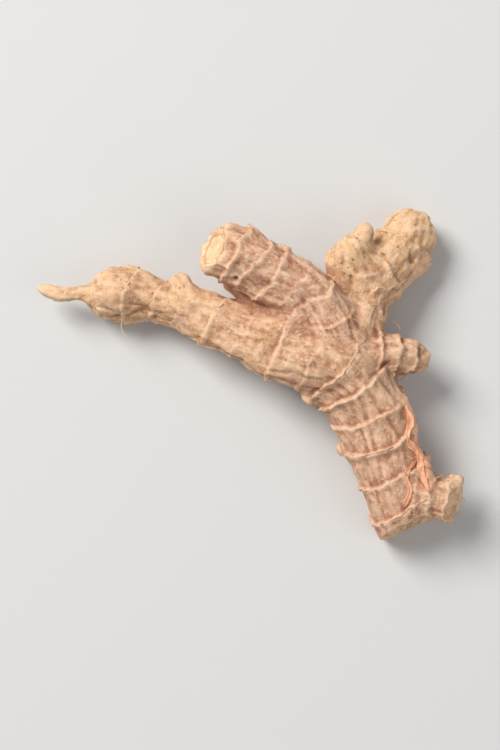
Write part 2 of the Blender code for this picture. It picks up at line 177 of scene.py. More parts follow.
class Arm:
    """A limb of the root. path holds (x, y, z, radius) points, base first. scars is (first, gap,
    shrink): the first leaf scar's distance from the base, the gap to the next one, and the share of
    the gap that each later one keeps. cuts maps an end, 0 or -1, to the way its flat cut faces.
    ringed is the scars' mean share of their full height, and knobbly the share of the smaller lumps
    that shows, and tone the strength of each of the TONES it has, all at the base and at the tip."""

    def __init__(self, name, path, scars=None, cuts=None, ringed=(1.0, 1.0), knobbly=(0.0, 0.0),
                 **tone):
        self.name = name
        self.ringed = ringed
        self.knobbly = knobbly
        self.tone = tone
        self.centre, self.radius = sample_curve(path)
        steps = np.linalg.norm(np.diff(self.centre, axis=0), axis=1)
        self.along = np.concatenate([[0.0], np.cumsum(steps)])
        self.length = self.along[-1]
        self.tangent = unit(np.gradient(self.centre, axis=0))
        self.side, self.up = carry_frame(self.tangent)
        self.cuts = {end: unit(np.array(way, float)) for end, way in (cuts or {}).items()}
        self.phase = 0.37 * sum(ord(letter) for letter in name)
        self.scars = None
        if scars:
            self.scars, self.strength = self.place_scars(*scars)
        margin = self.radius.max() * 1.1 + REACH
        self.low, self.high = self.centre.min(0) - margin, self.centre.max(0) + margin

    def place_scars(self, first, gap, shrink):
        """Distances of the leaf scars from the base, with one beyond each end of the arm, and the
        share of the full height that each has."""
        draw = random.Random(self.name)
        places = [first - gap, first]
        while places[-1] < self.length + 2 * KNOB_RADIUS:
            gap = max(gap * shrink, SHORTEST_GAP)
            places.append(places[-1] + gap * draw.uniform(0.85, 1.15))
        means = np.interp(places, (0.0, self.length), self.ringed)
        shares = [draw.uniform(max(0, 2 * mean - 1), min(1, 2 * mean)) for mean in means]
        return np.array(places), np.array(shares)

    def nearby(self, points):
        return ((points > self.low) & (points < self.high)).all(1)

    def measure(self, points):
        """Each point's distance from the centreline, distance along it, place across the arm as a
        complex number in the unit disc, the arm's radius there, and the direction straight out."""
        squares = (points ** 2).sum(1)[:, None] + (self.centre ** 2).sum(1)
        near = (squares - 2 * points @ self.centre.T).argmin(1)
        offset = ((points - self.centre[near]) * self.tangent[near]).sum(1)
        low = np.where(near == 0, 0.0, -SAMPLE_STEP)
        high = np.where(near == len(self.centre) - 1, 0.0, SAMPLE_STEP)
        held = np.clip(offset, low, high)
        spoke = points - self.centre[near] - held[:, None] * self.tangent[near]
        distance = np.maximum(np.linalg.norm(spoke, axis=1), 1e-9)
        radius = np.interp(self.along[near] + held, self.along, self.radius)
        across = (spoke * self.side[near]).sum(1) + 1j * (spoke * self.up[near]).sum(1)
        across /= np.maximum(np.abs(across), radius)
        return distance, self.along[near] + offset, across, radius, spoke / distance[:, None]

    def field(self, points):
        """Signed distance to the arm's plain skin, negative inside, and the way out."""
        distance, along, across, radius, out = self.measure(points)
        oval = 0.07 * across ** 2 * np.exp(1j * (self.phase + along / (11 * MM)))
        oval += 0.045 * across ** 3 * np.exp(-1j * (self.phase + along / (7 * MM)))
        value = distance - radius * (1 + oval.imag)
        for end, way in self.cuts.items():
            value, out = cut_off(value, out, (points - self.centre[end]) @ way, way)
        return value, out

    def scar_place(self, along, across, radius):
        """The distance along the arm that a point has once its scars' lean and waves are undone."""
        turn = np.column_stack([across.real, across.imag])
        wave = noise_at(np.column_stack([turn * 1.6, along / (5 * MM)]) + self.phase)
        ripple = noise_at(np.column_stack([turn * 5.5, along / (3 * MM)]) + self.phase)
        lean = across * np.exp(1j * (self.phase + along / (20 * MM)))
        return along + SCAR_LEAN * radius * lean.imag + SCAR_WAVE * wave + SCAR_RIPPLE * ripple

    def relief(self, points):
        """Height of the lumps, scars, joints and wrinkles over the plain skin, the strength of each
        mask that the colours follow, and coordinates that run with the grain, in millimetres."""
        distance, along, across, radius, _ = self.measure(points)
        bark = np.clip((distance / radius - 0.6) / 0.3, 0, 1)
        ends = (0.0, self.length)
        knobbly = np.interp(along, ends, self.knobbly)
        masks = {name: np.interp(along, ends, self.tone.get(name, (0, 0))) for name in TONES}
        turn = np.column_stack([across.real, across.imag])
        grain = np.column_stack([turn * radius[:, None], along]) / MM
        lie = np.column_stack([turn * (radius / WRINKLE_WIDTH)[:, None], along / WRINKLE_LENGTH])
        fine = np.column_stack([turn * (radius / FURROW_WIDTH)[:, None], along / FURROW_LENGTH])
        height = KNOB_HEIGHT * knobbly * noise_at(points / KNOB_SIZE + self.phase)
        height += CRUST_HEIGHT * knobbly * noise_at(points / CRUST_SIZE - self.phase)
        scar = np.zeros(len(points))
        wrinkled = 0.5
        if self.scars is not None:
            rings, crest, joint = self.scar_relief(turn, self.scar_place(along, across, radius))
            height += rings
            scar = crest * bark
            lie[:, 2] += 3.7 * joint
            fine[:, 2] += 2.3 * joint
            wrinkled = 1.0
        deep = furrow(lie + self.phase, 0.2)
        shallow = furrow(fine + 2 * self.phase, 0.25)
        height -= wrinkled * (WRINKLE_DEPTH * deep + FURROW_DEPTH * shallow)
        masks["scar"] = scar
        # painted shade in the wrinkles' furrows, left off the scars
        masks["shaded_hollow"] = np.clip(0.55 * deep + 0.25 * shallow, 0, 1) * (1 - scar)
        return bark * height, masks, grain

    def scar_relief(self, turn, place):
        """Height of the scars and of the joints between them, the strength of the mask for the
        scars' crests, and the number of the joint that each point is on."""
        joint = np.clip(np.searchsorted(self.scars, place), 1, len(self.scars) - 1)
        past = place - self.scars[joint - 1]
        ahead = self.scars[joint] - place
        drop = bell(past, SCAR_DROP)
        rise = bell(ahead, SCAR_RISE)
        before, after = self.strength[joint - 1], self.strength[joint]
        ridge = before * drop * (0.8 + 0.6 * self.round_scar(turn, 1.9, 2.3 * (joint - 1)))
        ridge += after * rise * (0.8 + 0.6 * self.round_scar(turn, 1.9, 2.3 * joint))
        part = past / (past + ahead)
        swell = 0.5 * before * drop + 0.5 * (after * part - before * (1 - part)) * (1 - drop)
        nearest = np.where(past < ahead, joint - 1, joint)
        lip = bell(np.minimum(past, ahead) - LIP_OFFSET, LIP_WIDTH)
        left = np.clip(0.6 + 1.3 * self.round_scar(turn, 3.6, 4.1 * nearest), 0, 1)
        lip *= self.strength[nearest] ** LIP_FADE * left
        height = SCAR_HEIGHT * ridge + CUP * swell + LIP_HEIGHT * lip
        return height, np.clip(0.15 * ridge + 0.7 * lip, 0, 1), joint

    def round_scar(self, turn, rate, which):
        """Noise that changes round the arm at the given rate, and from one scar to the next."""
        return noise_at(np.column_stack([turn * rate, which + self.phase]))

    def dish(self, points):
        """How far the cut faces have shrunk in at each point, and the strength of the masks for a
        cut face and for the brown lines on it: its rim, the ring inside the bark, and its cracks.
        core is the distance from the middle of a face as an uneven share of the arm's radius."""
        sunk = np.zeros((len(points), 3))
        cut = np.zeros(len(points))
        line = np.zeros(len(points))
        for end, way in self.cuts.items():
            from_end = points - self.centre[end]
            face = from_end @ way
            spoke = from_end - face[:, None] * way
            turn = unit(spoke)
            reach = np.linalg.norm(spoke, axis=1) / self.radius[end]
            uneven = 0.1 * noise_at(turn * 1.5 + self.phase) + 0.04 * noise_at(turn * 6 + self.phase)
            core = reach * (1 + uneven)
            on_face = np.clip(1 + face / (0.8 * MM), 0, 1) * (reach < 1.3)
            fibre = FIBRE_BUMP * noise_at(points / FIBRE_SIZE + self.phase)
            knife = (spoke @ self.side[end] + 4 * fibre) / KNIFE_STEP
            fibre += KNIFE_MARK * np.sin(2 * math.pi * knife)
            groove = bell(core - 0.68, 0.1)
            crack = furrow(turn * 2.6 + 3 * self.phase, 0.07) * bell(core - 0.4, 0.2)
            bowl = CUT_DISH * np.clip(1 - reach ** 2, 0, 1) + CUT_RING * groove
            sunk -= (on_face * (bowl + CRACK_DEPTH * crack - fibre))[:, None] * way
            flat = np.clip(1 + face / (0.3 * MM), 0, 1) * (reach < 1.2)
            cut = np.maximum(cut, flat)
            rim = bell(core - 1.0, 0.06)
            inner = 0.8 * bell(core - 0.7, 0.045)
            line = np.maximum(line, flat * np.maximum(np.maximum(rim, inner), crack))
        return sunk, {"cut": cut, "line": line}


def unit(vectors):
    return vectors / np.maximum(np.linalg.norm(vectors, axis=-1, keepdims=True), 1e-12)


def cut_off(value, out, over, way):
    """A signed distance and its way out, once what lies over a plane that faces way is cut off."""
    share = 1 / (1 + np.exp(np.clip((value - over) / RIM, -40, 40)))
    value = np.maximum(value, over) + RIM * np.log1p(np.exp(-np.abs(value - over) / RIM))
    return value, unit(out * (1 - share)[:, None] + way * share[:, None])


def noise_at(points):
    """Smooth noise from about -1 to 1 at each point."""
    return np.array([noise.noise(point) for point in points.tolist()])


def bell(values, width):
    """1 where a value is 0, falling to nothing at about twice the width on either side."""
    return np.exp(-(values / width) ** 2)


def furrow(lie, width):
    """1 along narrow lines, where smooth noise passes through zero, and 0 between them."""
    return bell(noise_at(lie), width)


def sample_curve(path):
    """Points and radii at even steps along a smooth curve through path."""
    knots = np.array(path, float)
    knots = np.vstack([2 * knots[0] - knots[1], knots, 2 * knots[-1] - knots[-2]])
    pieces = []
    for a, b, c, d in zip(knots, knots[1:], knots[2:], knots[3:]):
        count = max(2, round(np.linalg.norm((c - b)[:3]) / SAMPLE_STEP))
        t = (np.arange(count) / count)[:, None]
        pieces.append(0.5 * (2 * b + (c - a) * t + (2 * a - 5 * b + 4 * c - d) * t ** 2
                             + (3 * b - a - 3 * c + d) * t ** 3))
    curve = np.vstack(pieces + [knots[-2:-1]])
    return curve[:, :3], curve[:, 3]


def carry_frame(tangent):
    """Two directions square to the tangent at each sample, carried along without twist."""
    side = [unit(np.cross(tangent[0], (0.0, 0.0, 1.0)))]
    for direction in tangent[1:]:
        side.append(unit(side[-1] - direction * (side[-1] @ direction)))
    return np.array(side), np.cross(side, tangent)


def in_mm(*points):
    """Path points given as x, y and z in millimetres and a radius in metres."""
    return [(x * MM, y * MM, z * MM, radius) for x, y, z, radius in points]


def main_axis():
    """Trunk, hub and long arm, which are one shoot: from the trunk's cut end to the knob."""
    foot = (TRUNK_RADIUS - TRUNK_FOOT) / MM
    knob = (KNOB_RADIUS - KNOB_FOOT) / MM
    rise = HUB_RISE / MM
    return Arm("axis", in_mm(
        (25.4, -29.5, foot, TRUNK_RADIUS),
        (21.8, -19.5, foot + 0.30 * rise, TRUNK_RADIUS),
        (18.6, -10.0, foot + 0.62 * rise, TRUNK_RADIUS),
        (15.0, -2.5, foot + 0.88 * rise, TRUNK_RADIUS * 1.06),
        (9.8, 2.6, foot + rise, HUB_RADIUS),
        (2.6, 5.0, foot + 0.95 * rise, HUB_RADIUS * 0.93),
        (-5.2, 7.2, foot + 0.78 * rise, LONG_ARM_RADIUS * 1.14),
        (-12.0, 10.2, foot + 0.55 * rise, LONG_ARM_RADIUS),
        (-18.5, 12.8, foot + 0.28 * rise, LONG_ARM_RADIUS * 0.92),
        (-24.2, 14.3, knob + 0.8, LONG_ARM_RADIUS * 0.88),
        (-28.6, 15.0, knob, KNOB_RADIUS * 0.97),
        (-31.0, 15.2, knob, KNOB_RADIUS * 0.95)),
        scars=(4.9 * MM, SCAR_GAP, 0.985), cuts={0: (0.42, -0.88, 0.22)}, knobbly=(0.1, 1.1),
        ringed=(1.0, 0.3), pink=(1.0, 0.3), pale=(0.0, 0.65))


def stubs():
    """The short shoots that grew off the hub and the trunk, and the buds on them."""
    low = (STUB_RADIUS * 1.1 - FORK_FOOT) / MM
    return [
        Arm("left_stub", in_mm(
            (9.6, 7.0, 12.0, STUB_RADIUS * 1.15), (7.2, 12.4, 12.8, STUB_RADIUS * 1.08),
            (3.4, 16.4, 13.3, STUB_RADIUS), (-1.8, 18.9, 13.6, STUB_RADIUS * 1.02),
            (-7.0, 21.8, 13.8, STUB_RADIUS * 1.04), (-12.6, 23.6, 14.2, STUB_RADIUS * 0.88)),
            scars=(8.6 * MM, 5.2 * MM, 0.92), cuts={-1: (-0.80, 0.36, 0.48)}, knobbly=(0.5, 0.8),
            ringed=(0.5, 0.6), pink=(1.0, 0.9), pale=(0.0, 0.3)),
        Arm("stub_crotch", in_mm(
            (4.4, 9.2, 10.2, 4.4 * MM), (-1.6, 12.8, 9.6, 3.0 * MM),
            (-5.6, 15.2, 9.2, 1.9 * MM), (-9.0, 17.0, 9.0, 1.2 * MM)), pink=(0.6, 0.6)),
        Arm("fork_crotch", in_mm(
            (9.5, 9.5, 11.0, 4.8 * MM), (11.3, 13.4, 10.8, 4.0 * MM),
            (11.5, 16.4, 10.4, 2.8 * MM)), pink=(0.6, 0.3), pale=(0.1, 0.3)),
        Arm("forked_stub", in_mm(
            (12.6, 4.4, 11.0, NECK_RADIUS * 1.3), (16.2, 10.6, 10.4, NECK_RADIUS * 1.05),
            (17.3, 15.0, 9.4, NECK_RADIUS), (20.2, 19.3, 7.8, STUB_RADIUS * 0.96),
            (23.6, 23.2, low + 0.4, STUB_RADIUS * 1.16), (25.2, 26.4, low, STUB_RADIUS * 1.08)),
            scars=(8.6 * MM, 4.4 * MM, 0.96), knobbly=(0.7, 1.0), ringed=(0.6, 0.35),
            pink=(0.5, 0.0), pale=(0.1, 1.0)),
        Arm("fork_knob", in_mm(
            (17.0, 15.0, 9.6, NECK_RADIUS * 0.95), (15.3, 19.4, 10.4, STUB_RADIUS * 0.92),
            (13.9, 21.7, 10.8, STUB_RADIUS * 0.93)),
            scars=(4.4 * MM, 3.6 * MM, 0.95), knobbly=(0.9, 1.2), ringed=(0.5, 0.35),
            pink=(0.2, 0.0), pale=(0.5, 0.9)),
        Arm("fork_bud", in_mm(
            (14.8, 22.8, 11.0, 2.6 * MM), (16.4, 26.6, 11.6, 1.7 * MM)), pale=(0.9, 0.9)),
        Arm("shoulder_bud", in_mm(
            (15.5, 3.4, 11.6, 5.0 * MM), (21.4, 3.4, 11.0, 3.9 * MM),
            (25.4, 3.0, 10.2, 2.9 * MM)),
            scars=(6.2 * MM, 3.4 * MM, 0.9), knobbly=(0.5, 0.9), ringed=(0.7, 0.7),
            pink=(0.6, 0.5), pale=(0.1, 0.2)),
        Arm("low_stub", in_mm(
            (23.6, -21.5, 8.2, STUB_RADIUS * 1.0), (29.0, -23.4, 9.2, STUB_RADIUS * 0.86),
            (33.6, -24.6, 10.2, STUB_RADIUS * 0.82)),
            scars=(6.6 * MM, 3.6 * MM, 0.9), cuts={-1: (0.90, -0.20, 0.38)}, knobbly=(0.4, 0.7),
            ringed=(0.7, 0.7), pink=(0.8, 0.3), pale=(0.0, 0.4)),
        Arm("long_arm_bud", in_mm(
            (-17.6, 13.4, 9.2, 3.2 * MM), (-18.6, 17.0, 9.9, 1.9 * MM)), pale=(0.5, 0.7)),
        Arm("torn_sheath", in_mm(
            (23.4, -5.4, 12.6, 0.8 * MM), (25.2, -9.4, 12.6, 1.0 * MM),
            (25.4, -13.6, 12.2, 0.9 * MM), (27.6, -17.2, 12.0, 1.0 * MM),
            (28.8, -21.4, 12.8, 0.8 * MM)), orange=(0.8, 0.8)),
    ]


def scarred(limbs):
    return [limb for limb in limbs if limb.scars is not None]


def rootlets(limbs):
    """Broken rootlets: the long one on the knob, and short ones low on the flanks at the scars."""
    draw = random.Random(SEED)
    knob = KNOB_RADIUS / MM
    found = [Arm("knob_rootlet", in_mm(
        (-33.0, 15.2, knob, 2.0 * MM), (-36.2, 15.3, knob + 0.4, 1.8 * MM),
        (-37.6, 15.5, knob + 0.6, 1.6 * MM), (-39.2, 15.4, knob + 0.9, 1.5 * MM),
        (-41.4, 15.2, knob + 1.0, 1.4 * MM), (-43.6, 15.7, knob + 0.8, 1.2 * MM),
        (-45.3, 16.2, knob + 0.4, 0.9 * MM)), knobbly=(0.3, 0.5),
        scars=(3.0 * MM, 2.4 * MM, 1.0), ringed=(0.2, 0.2), pale=(0.5, 1.0))]
    for limb in scarred(limbs):
        for place in limb.scars[(limb.scars > 0) & (limb.scars < limb.length)]:
            lean = math.radians(draw.uniform(0, 55))
            hand = draw.choice((-1, 1))
            reach = draw.uniform(0.8, 2.4) * MM
            if draw.random() < 0.4:
                continue
            near = np.argmin(np.abs(limb.along - place))
            level = unit(np.cross(limb.tangent[near], (0.0, 0.0, hand)))
            way = level * math.cos(lean) - np.array((0, 0, math.sin(lean)))
            root = limb.centre[near] + way * (limb.radius[near] - 1.5 * MM)
            tip = root + way * (reach + 1.5 * MM)
            others = [other for other in limbs if other is not limb]
            clear = min(other.field(tip[None])[0][0] for other in others)
            if tip[2] < 2.2 * MM or clear < 2.5 * MM:
                continue
            found.append(Arm(f"rootlet{len(found)}", [
                (*root, ROOTLET_RADIUS * 1.3), (*tip, ROOTLET_RADIUS * draw.uniform(0.8, 1.05))],
                cuts={-1: way}, pink=(0.4, 0.2), pale=(0.2, 0.5)))
    return found


def warts(limbs):
    """The small rimmed scars that shed rootlets left, over the whole skin: centres and radii."""
    draw = random.Random(SEED + 1)
    crotch = next(limb for limb in limbs if limb.name == "fork_crotch")
    middle = len(crotch.centre) // 2
    found = [(crotch.centre[middle] + np.array((0, 0, crotch.radius[middle])), WART_RADIUS)]
    for limb in scarred(limbs):
        for place in np.arange(WART_GAP, limb.length - 3 * MM, WART_GAP):
            near = np.argmin(np.abs(limb.along - place - draw.uniform(-2, 2) * MM))
            angle = draw.uniform(0, 2 * math.pi)
            way = limb.side[near] * math.cos(angle) + limb.up[near] * math.sin(angle)
            found.append((limb.centre[near] + way * limb.radius[near],
                          WART_RADIUS * draw.uniform(0.5, 1.0)))
    return found


def add_object(name, data):
    obj = bpy.data.objects.new(name, data)
    bpy.context.collection.objects.link(obj)
    return obj


def modified(obj):
    """A new mesh of the object, with its modifiers applied."""
    graph = bpy.context.evaluated_depsgraph_get()
    return bpy.data.meshes.new_from_object(obj.evaluated_get(graph))


def mesh_of(name, bm):
    bmesh.ops.recalc_face_normals(bm, faces=bm.faces[:])
    mesh = bpy.data.meshes.new(name)
    bm.to_mesh(mesh)
    bm.free()
    return mesh


def ring(centre, radius, side, up, corners):
    turns = 2 * math.pi * np.arange(corners) / corners
    return centre + radius * (np.outer(np.cos(turns), side) + np.outer(np.sin(turns), up))


def close_tube(bm, loops):
    """Faces from each ring of vertices to the next one, and across both ends."""
    for low, high in zip(loops, loops[1:]):
        for i in range(len(low)):
            j = (i + 1) % len(low)
            bm.faces.new((low[i], low[j], high[j], high[i]))
    bm.faces.new(loops[0][::-1])
    bm.faces.new(loops[-1])


def rough_limb(bm, limb):
    """A plain closed tube along the limb, flat at a cut end and round at a grown one."""
    rings = list(zip(limb.centre, limb.radius, limb.side, limb.up))
    for end in (0, -1):
        centre, radius, side, up = rings[end]
        out = limb.tangent[end] * (1 if end else -1)
        if end in limb.cuts:
            caps = [(radius, radius)]
        else:
            swings = math.radians(85) * np.arange(1, CAP_RINGS + 1) / CAP_RINGS
            caps = [(radius * math.sin(swing), radius * math.cos(swing)) for swing in swings]
        for reach, wide in caps:
            rings.insert(len(rings) if end else 0, (centre + out * reach, wide, side, up))
    loops = []
    for centre, radius, side, up in rings:
        spots = ring(centre, radius, side, up, ROUND_SIDES)
        for end, way in limb.cuts.items():
            over = np.maximum((spots - limb.centre[end]) @ way, 0)
            along = limb.tangent[end]
            spots = spots - np.outer(over / (along @ way), along)
        spots[:, 2] = np.maximum(spots[:, 2], 0.0)
        loops.append([bm.verts.new(spot) for spot in spots])
    close_tube(bm, loops)


def rough_root(limbs):
    """All limbs joined into one closed mesh on an even grid."""
    bm = bmesh.new()
    for limb in limbs:
        rough_limb(bm, limb)
    obj = add_object("rough_root", mesh_of("rough_root", bm))
    remesh = obj.modifiers.new("join", "REMESH")
    remesh.mode = "VOXEL"
    remesh.voxel_size = FINE_VOXEL
    mesh = modified(obj)
    bpy.data.objects.remove(obj)
    return mesh


def skin(points, limbs):
    """Signed distance to the blended skin on the floor, the way out, each limb's share in it, and
    how open it lies: 0 where another limb faces and touches it, 1 where none is near."""
    values = np.full((len(limbs), len(points)), FAR)
    ways = np.zeros((len(limbs), len(points), 3))
    for row, limb in enumerate(limbs):
        held = limb.nearby(points)
        values[row, held], ways[row, held] = limb.field(points[held])
    lowest = values.min(0)
    shares = np.exp(-(values - lowest) / BLEND)
    value = lowest - BLEND * np.log(shares.sum(0))
    shares /= shares.sum(0)
    way = unit((shares[:, :, None] * ways).sum(0))
    facing = np.clip(0.5 - (ways * way).sum(2), 0, 1)
    crowding = (facing * np.clip(1 - values / CREASE_FADE, 0, 1)).max(0)
    value, way = cut_off(value, way, -points[:, 2], np.array((0.0, 0.0, -1.0)))
    return value, way, shares, 1 - crowding


def raise_relief(points, limbs, wart_places):
    """Moves points from the plain skin to the finished one. Returns them with what the material
    reads by name: the masks for the colours, and the grain's coordinates."""
    _, way, shares, openness = skin(points, limbs)
    height = LUMP_HEIGHT * noise_at(points / LUMP_SIZE)
    height += GRAIN_HEIGHT * noise_at(points / GRAIN_SIZE)
    dished = np.zeros_like(points)
    masks = {name: np.zeros(len(points)) for name in (*TONES, "scar", "shaded_hollow", "cut", "line")}
    masks["grain"] = np.zeros_like(points)
    leader = shares.argmax(0)
    for row, (limb, share) in enumerate(zip(limbs, shares)):
        held = share > 0.02
        rise, strengths, lie = limb.relief(points[held])
        sunk, faces = limb.dish(points[held])
        height[held] += share[held] * rise
        dished[held] += share[held, None] * sunk
        for name, strength in (strengths | faces).items():
            masks[name][held] += share[held] * strength
        led = leader[held] == row
        masks["grain"][np.flatnonzero(held)[led]] = lie[led]
    raise_warts(points, wart_places, height, masks)
    floor_fade = np.clip(points[:, 2] / FLOOR_FADE, 0, 1)
    stoutness = np.minimum(1, np.array([limb.radius.mean() for limb in limbs]) / STOUT)
    height *= floor_fade * openness * (stoutness @ shares)
    # painted shade where another limb faces and touches the skin
    masks["crease"] = 1 - openness
    dished *= np.clip(points[:, 2:] / DISH_FADE, 0, 1)
    moved = points + way * height[:, None] + dished
    moved[moved[:, 2] < FLAT, 2] = 0.0
    return moved, masks


def raise_warts(points, wart_places, height, masks):
    """Adds the small round scars, a rim around a pit, to the height and the masks, with painted shade in
    the pit.
    """
    for centre, radius in wart_places:
        reach = np.linalg.norm(points - centre, axis=1) / radius
        near = reach < 3
        uneven = np.clip(0.6 + 0.9 * noise_at(points[near] / radius), 0, 1)
        rim = bell(reach[near] - 0.8, 0.3) * uneven
        pit = bell(reach[near], 0.45)
        height[near] += radius / WART_RADIUS * (WART_HEIGHT * rim - PIT_DEPTH * pit)
        masks["scar"][near] = np.maximum(masks["scar"][near], 0.5 * rim)
        masks["shaded_hollow"][near] = np.maximum(masks["shaded_hollow"][near], 0.9 * pit)


def store(mesh, name, values):
    """Keeps a number or a vector for each vertex, for the material to read."""
    kind, key = ("FLOAT_VECTOR", "vector") if values.ndim == 2 else ("FLOAT", "value")
    attribute = mesh.attributes.new(name, kind, "POINT")
    attribute.data.foreach_set(key, np.ascontiguousarray(values, dtype=np.float32).ravel())


def get_points(mesh):
    points = np.empty(len(mesh.vertices) * 3)
    mesh.vertices.foreach_get("co", points)
    return points.reshape(-1, 3)


def bending(mesh, rounds):
    """How far each vertex lies below (+) or above (-) the mean of those around it, in millimetres,
    smoothed over the given number of rounds: the hollows, which get painted shade, and the worn crests of
    the skin."""
    edges = np.empty(len(mesh.edges) * 2, dtype=np.int64)
    mesh.edges.foreach_get("vertices", edges)
    first, second = edges.reshape(-1, 2).T
    count = len(mesh.vertices)
    degree = np.bincount(first, minlength=count) + np.bincount(second, minlength=count)

    def around(values):
        total = np.bincount(first, values[second], count) + np.bincount(second, values[first], count)
        return total / degree

    points = get_points(mesh)
    normals = np.empty(count * 3)
    mesh.vertex_normals.foreach_get("vector", normals)
    smooth = points.copy()
    for _ in range(rounds):
        smooth = np.column_stack([around(column) for column in smooth.T])
    return around(((smooth - points) * normals.reshape(-1, 3)).sum(1)) / MM


def fine_root(limbs, wart_places):
    """The root's skin, finer than the solid's and of the same form, and its shift onto the frame."""
    mesh = rough_root(limbs)
    points = get_points(mesh)
    for _ in range(SETTLE_STEPS):
        value, way, _, _ = skin(points, limbs)
        points -= way * np.clip(value, -MM, MM)[:, None]
    points, masks = raise_relief(points, limbs, wart_places)
    middle = (points.min(0) + points.max(0)) / 2
    shift = np.array((-middle[0], -middle[1], 0.0))
    mesh.vertices.foreach_set("co", (points + shift).ravel())
    mesh.update()
    for name, (rounds, full) in BENDS.items():
        masks[name] = np.clip(bending(mesh, rounds) / full, -1, 1)
    for name, values in masks.items():
        store(mesh, name, values)
    mesh.name = "root_skin"
    mesh.materials.clear()
    mesh.materials.append(skin_material())
    mesh.shade_smooth()
    return add_object("root_skin", mesh), shift


# What is fixed to the skin.

def spot_on(root, start, way):
    """The bare skin that a ray hits within reach of its start, as (spot, way out), or None."""
    hit, spot, normal, _ = root.ray_cast(Vector(start), Vector(way), distance=HEADROOM + LOWEST)
    if not hit or (spot - Vector(start)).length < HEADROOM - HIGHEST:
        return None
    if spot.z < MM or -normal.dot(Vector(way)) < LEAST_FACING:
        return None
    return np.array(spot), np.array(normal)


def crest_spots(limb, scar, root, shift):
    """Places on a scar's crest, all round the limb: (turn, spot, way out, way to the tip), or None
    where the crest is hidden or gone."""
    count = round(2 * math.pi * np.interp(scar, limb.along, limb.radius) / FRINGE_STEP)
    across = np.exp(2j * math.pi * np.arange(count + 1) / count)
    along = np.full(count + 1, scar)
    for _ in range(6):
        radius = np.interp(along, limb.along, limb.radius)
        along = along + scar - limb.scar_place(along, across, radius)
    centre, side, up, tip = (
        np.column_stack([np.interp(along, limb.along, column) for column in rows.T])
        for rows in (limb.centre, limb.side, limb.up, limb.tangent))
    out = unit(side * across.real[:, None] + up * across.imag[:, None])
    edge = centre + out * radius[:, None]
    held = (along > 0) & (along < limb.length)
    for end, way in limb.cuts.items():
        held &= (edge - limb.centre[end]) @ way < -CUT_MARGIN
    starts = edge + out * HEADROOM + shift
    spots = []
    for turn, bare, start, way, ahead in zip(across, held, starts, out, tip):
        found = spot_on(root, start, -way) if bare else None
        spots.append(found and (turn, *found, ahead))
    return spots


def bare_crests(limbs, root, shift):
    """Each scar that can carry something: (limb, its index, its spots)."""
    for limb in scarred(limbs):
        for index, scar in enumerate(limb.scars):
            if 0 < scar < limb.length and limb.strength[index] > LEAST_SCAR:
                yield limb, index, crest_spots(limb, scar, root, shift)


def fringe_grids(crests):
    """Ragged ribbons of dry leaf scale that stand on the scars and lean towards the tip."""
    for limb, index, spots in crests:
        grid = []
        for found in [*spots, None]:
            height = 0.0
            if found:
                turn, spot, out, ahead = found
                lie = np.array((turn.real, turn.imag, 0.0))
                worn = noise.noise(lie * 1.7 + Vector((0, 0, 5.1 * index + limb.phase)))
                torn = noise.fractal(lie * 7.0 + Vector((0, 0, 3.3 * index + limb.phase)), 1.0, 2.0, 3)
                height = FRINGE_HEIGHT * limb.strength[index] * (0.15 + 0.9 * worn + 0.5 * torn)
            if height > FRINGE_LEAST:
                lean = unit(out * (0.55 + 0.5 * torn) + ahead)
                flare = unit(out + ahead * (0.2 + worn))
                root_spot = spot - SUNK * out
                middle = spot + 0.5 * height * lean
                grid.append((root_spot, middle, middle + 0.5 * height * flare))
                continue
            if len(grid) > 2:
                yield grid
            grid = []


def strip_grid(root, shift, path, width, curl):
    """A strip of torn sheath laid on the skin from above, along path: x and y in millimetres."""
    line, _ = sample_curve([(x * MM, y * MM, 0.0, 0.0) for x, y in path])
    grid = []
    for step, place in enumerate(line):
        hit, spot, normal, _ = root.ray_cast(Vector(place + shift + (0, 0, 30 * MM)), Vector((0, 0, -1)))
        if not hit or normal.z < 0.25:
            continue
        spot, out = np.array(spot), np.array(normal)
        ahead = line[min(step + 1, len(line) - 1)] - line[max(step - 1, 0)]
        side = unit(np.cross(ahead, out))
        taper = min(1.0, 2.5 * math.sin(math.pi * (step + 0.5) / len(line)))
        share = taper * (0.8 + 0.7 * noise.noise(Vector(place / (1.3 * MM))))
        twist = noise.noise(Vector(place / (4 * MM)) + Vector((7, 0, 0)))
        row = []
        for over in (-1.0, -0.5, 0.0, 0.5, 1.0):
            lift = curl * (over ** 2 + 0.8 * twist * over) - 0.3 * SUNK
            row.append(spot + 0.5 * width * share * over * side + max(lift, -SUNK) * out)
        grid.append(row)
    return grid


def sheet_piece(name, grids, thickness, material):
    """Thin sheets, each a grid of points, as one piece of closed solids."""
    bm = bmesh.new()
    for grid in grids:
        rows = [[bm.verts.new(spot) for spot in row] for row in grid]
        for low, high in zip(rows, rows[1:]):
            for a, b, c, d in zip(low, low[1:], high[1:], high):
                bm.faces.new((a, b, c, d))
    obj = piece_of(name, bm, material)
    solidify = obj.modifiers.new("paper", "SOLIDIFY")
    solidify.thickness = thickness
    solidify.offset = 0.0
    obj.data = modified(obj)
    obj.modifiers.clear()
    return obj


def strand_piece(name, strands, material):
    """Thin tapering tubes along lines of points, (points, radius) each, as one piece."""
    bm = bmesh.new()
    for points, radius in strands:
        tangent = unit(np.gradient(points, axis=0))
        side, up = carry_frame(tangent)
        loops = []
        for step, centre in enumerate(points):
            wide = radius * (1 - 0.75 * step / (len(points) - 1))
            spots = ring(centre, wide, side[step], up[step], STRAND_SIDES)
            loops.append([bm.verts.new(spot) for spot in spots])
        close_tube(bm, loops)
    return piece_of(name, bm, material)


def piece_of(name, bm, material):
    mesh = mesh_of(name, bm)
    mesh.materials.append(material)
    mesh.shade_smooth()
    return add_object(name, mesh)


